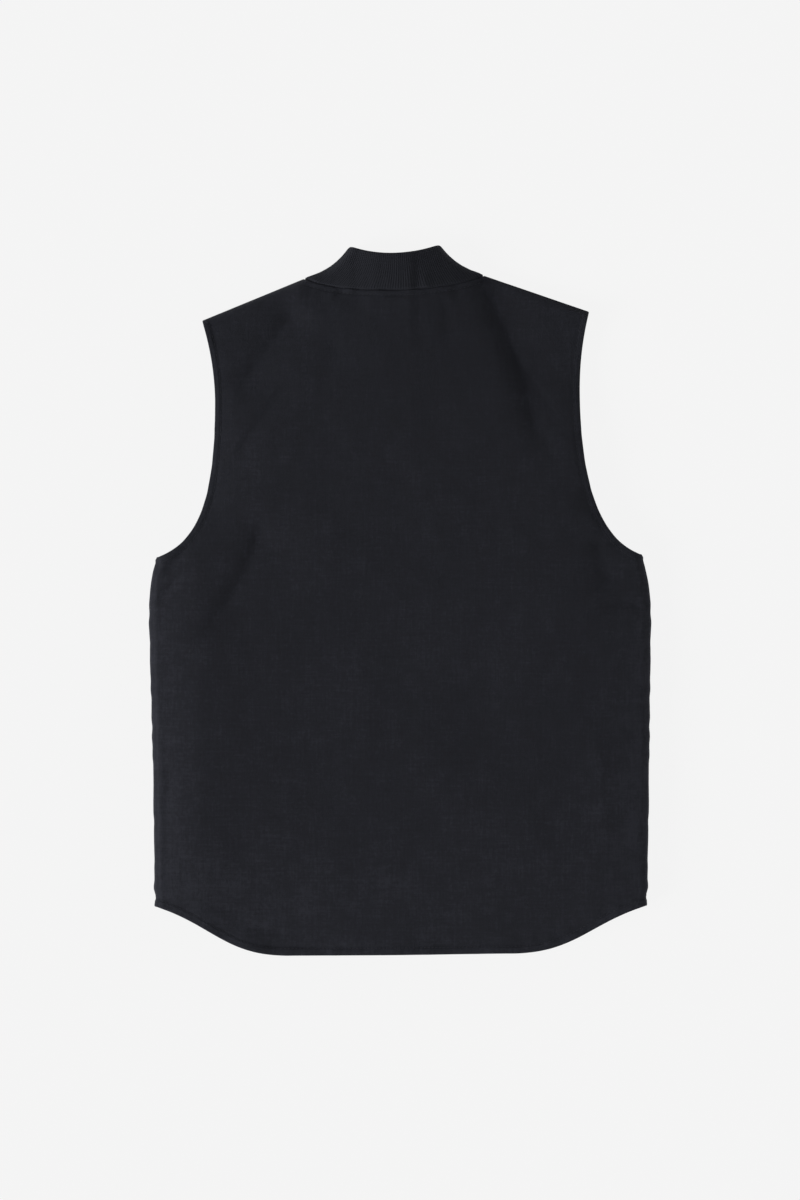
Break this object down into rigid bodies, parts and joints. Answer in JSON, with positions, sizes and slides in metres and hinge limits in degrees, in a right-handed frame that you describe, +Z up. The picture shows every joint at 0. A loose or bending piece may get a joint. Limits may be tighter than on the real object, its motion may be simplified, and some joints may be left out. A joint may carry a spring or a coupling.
{
  "type": "work vest",
  "caption": "Sleeveless canvas work vest with a rib-knit stand collar and a curved hem, lying flat on its front with its back up, hollow and open at neck, armholes and hem.",
  "frame": {"origin": "on the surface that the vest lies on, under the middle of its outline", "axes": "+Y from the hem towards the collar, +Z up through the back of the vest, +X to the right looking down on the back"},
  "size_m": [0.532, 0.7532, 0.0335],
  "materials": {
    "canvas": "matt washed cotton canvas, near black with a little blue",
    "rib_knit": "matt rib knit, near black",
    "zip": "matt black"
  },
  "bodies": {
    "root": {"back_panel": "canvas", "front_panel_left": "canvas", "front_panel_right": "canvas", "rib_collar": "rib_knit", "front_zip": "zip"}
  },
  "joints": []
}
